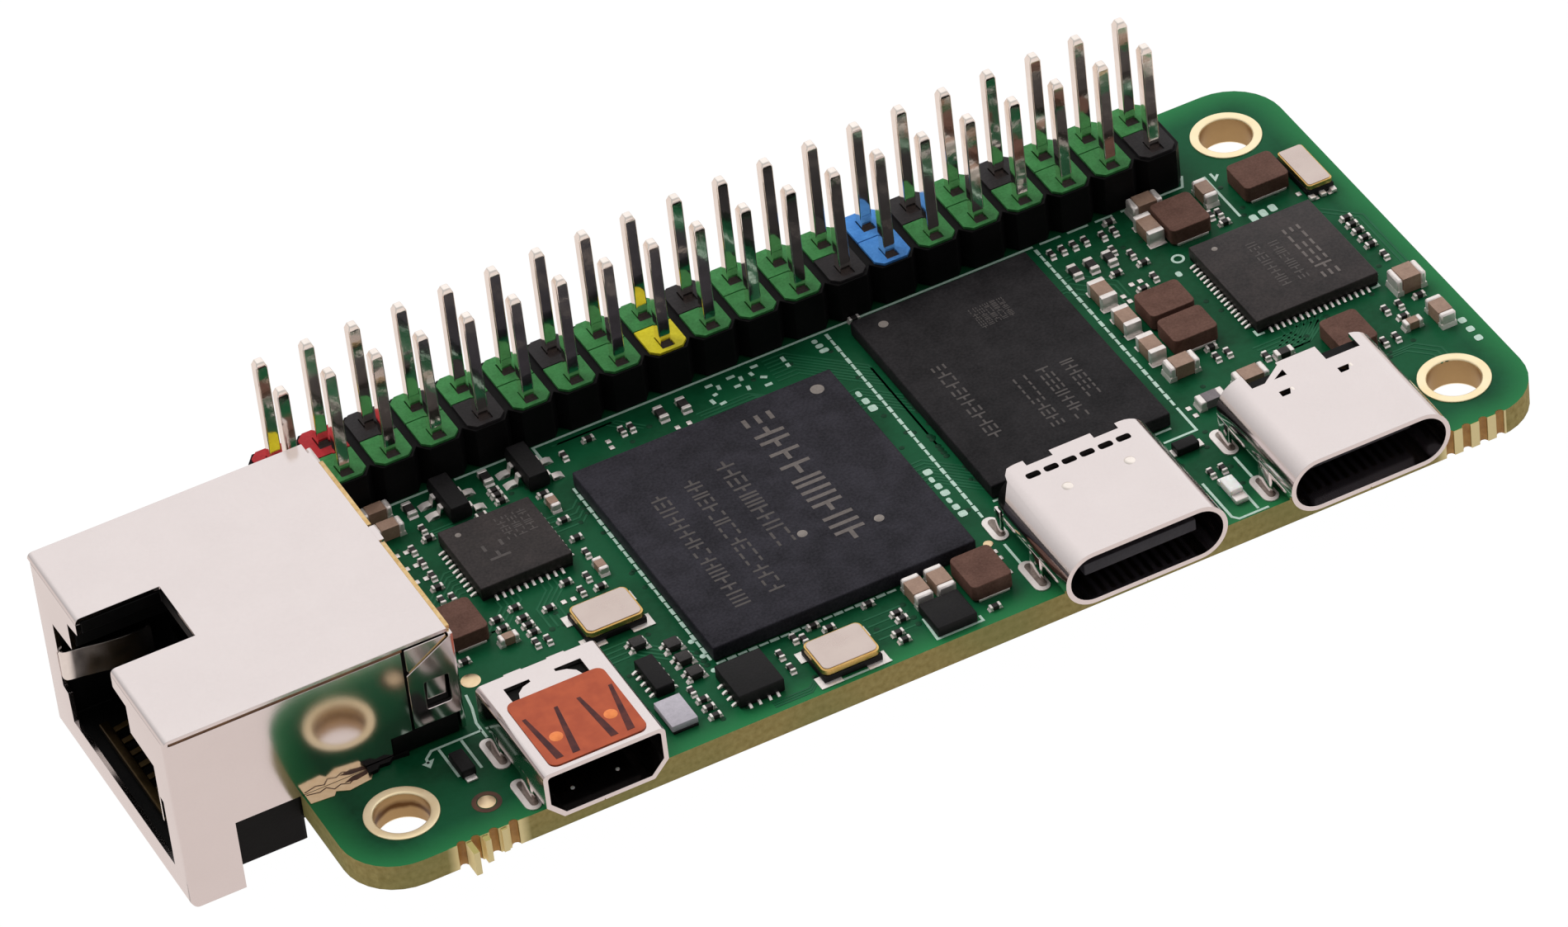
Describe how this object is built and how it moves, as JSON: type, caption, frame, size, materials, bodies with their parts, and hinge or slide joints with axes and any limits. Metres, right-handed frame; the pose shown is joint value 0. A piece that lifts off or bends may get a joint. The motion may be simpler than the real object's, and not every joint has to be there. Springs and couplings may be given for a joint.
{
  "type": "single board computer",
  "caption": "Credit-card-narrow green computer board with a colour-coded double-row pin header, a network jack past one end and small video and USB ports along the front.",
  "frame": {"origin": "middle of the four mounting holes' rectangle, on the board's underside", "axes": "+X along the board away from the network jack, +Y from the port edge to the header, +Z out of the component side"},
  "size_m": [0.0714, 0.0315, 0.013],
  "materials": {
    "board_laminate": "green solder mask over a tan laminate edge",
    "gold_plate": "matt gold plating",
    "header_plastic": "moulded cells, mostly green and black, some red, blue and yellow",
    "pin_metal": "tin plated",
    "shell_nickel": "nickel plated sheet, satin",
    "black_plastic": "moulded",
    "amber_film": "clear amber tape",
    "chip_mould": "charcoal mould compound, fine speckle",
    "grey_ceramic": "ceramic",
    "crystal_lid": "satin",
    "led_body": "milky",
    "ferrite": "brown ferrite",
    "brown_ceramic": "ceramic with tinned ends",
    "light_plastic": "moulded",
    "label_film": "blank printed film"
  },
  "bodies": {
    "board": {"boot_button_case": "shell_nickel", "camera_connector": "black_plastic", "capacitor_core": "brown_ceramic", "capacitor_graphics": "brown_ceramic", "capacitor_input": "brown_ceramic", "capacitor_logic": "brown_ceramic", "circuit_board": "board_laminate", "clock_crystal_small": "crystal_lid", "diode_left": "chip_mould", "diode_right": "chip_mould", "ethernet_housing": "black_plastic", "ethernet_rear_cover": "shell_nickel", "ethernet_shield": "shell_nickel", "gpio_header_body": "header_plastic", "gpio_pins_front_row": "pin_metal", "gpio_pins_rear_row": "pin_metal", "hdmi_esd_array": "chip_mould", "hdmi_shell": "shell_nickel", "hdmi_tape": "amber_film", "hdmi_tongue": "black_plastic", "inductor_core": "ferrite", "inductor_graphics": "ferrite", "inductor_host": "ferrite", "inductor_input": "ferrite", "inductor_logic": "ferrite", "inductor_memory": "ferrite", "inductor_network": "ferrite", "load_switch_chip": "chip_mould", "main_crystal_base": "grey_ceramic", "main_crystal_lid": "crystal_lid", "memory": "chip_mould", "microsd_body": "black_plastic", "microsd_shell": "shell_nickel", "mounting_ring_front_left": "gold_plate", "mounting_ring_front_right": "gold_plate", "mounting_ring_rear_left": "gold_plate", "mounting_ring_rear_right": "gold_plate", "network_chip": "chip_mould", "network_chip_leads": "pin_metal", "network_crystal_base": "grey_ceramic", "network_crystal_lid": "crystal_lid", "power_chip": "chip_mould", "power_chip_leads": "pin_metal", "processor": "chip_mould", "status_led": "led_body", "transistor_left": "chip_mould", "transistor_right": "chip_mould", "underside_label": "label_film", "usb_host_shell": "shell_nickel", "usb_host_tongue": "black_plastic", "usb_otg_shell": "shell_nickel", "usb_otg_tongue": "black_plastic", "usb_switch_chip": "chip_mould", "video_filter": "grey_ceramic"},
    "boot_button_plunger": {"boot_button_plunger": "light_plastic"},
    "camera_connector_latch": {"camera_connector_latch": "light_plastic"},
    "ethernet_contacts": {"ethernet_contacts": "gold_plate"},
    "ethernet_ground_spring_front": {"ethernet_ground_spring_front": "shell_nickel"},
    "ethernet_ground_spring_rear": {"ethernet_ground_spring_rear": "shell_nickel"}
  },
  "joints": [
    {"name": "contact_flex", "type": "hinge", "parent": "board", "child": "ethernet_contacts", "pos_m": [-0.0378, 0.00035, -0.0008], "axis": [0, 1, 0], "range_deg": [0, 8], "stiffness_Nm_per_rad": 0.05},
    {"name": "ground_spring_flex_rear", "type": "hinge", "parent": "board", "child": "ethernet_ground_spring_rear", "pos_m": [-0.03855, 0.00617, 0.0024], "axis": [0, 0, 1], "range_deg": [0, 4], "stiffness_Nm_per_rad": 0.02},
    {"name": "ground_spring_flex_front", "type": "hinge", "parent": "board", "child": "ethernet_ground_spring_front", "pos_m": [-0.03855, -0.00547, 0.0024], "axis": [0, 0, -1], "range_deg": [0, 4], "stiffness_Nm_per_rad": 0.02},
    {"name": "camera_latch_flip", "type": "hinge", "parent": "board", "child": "camera_connector_latch", "pos_m": [0.0287, 0, -0.00085], "axis": [0, 1, 0], "range_deg": [0, 90]},
    {"name": "boot_button_press", "type": "slide", "parent": "board", "child": "boot_button_plunger", "axis": [0, 0, 1], "range_m": [0, 0.0002], "stiffness_N_per_m": 4000}
  ]
}
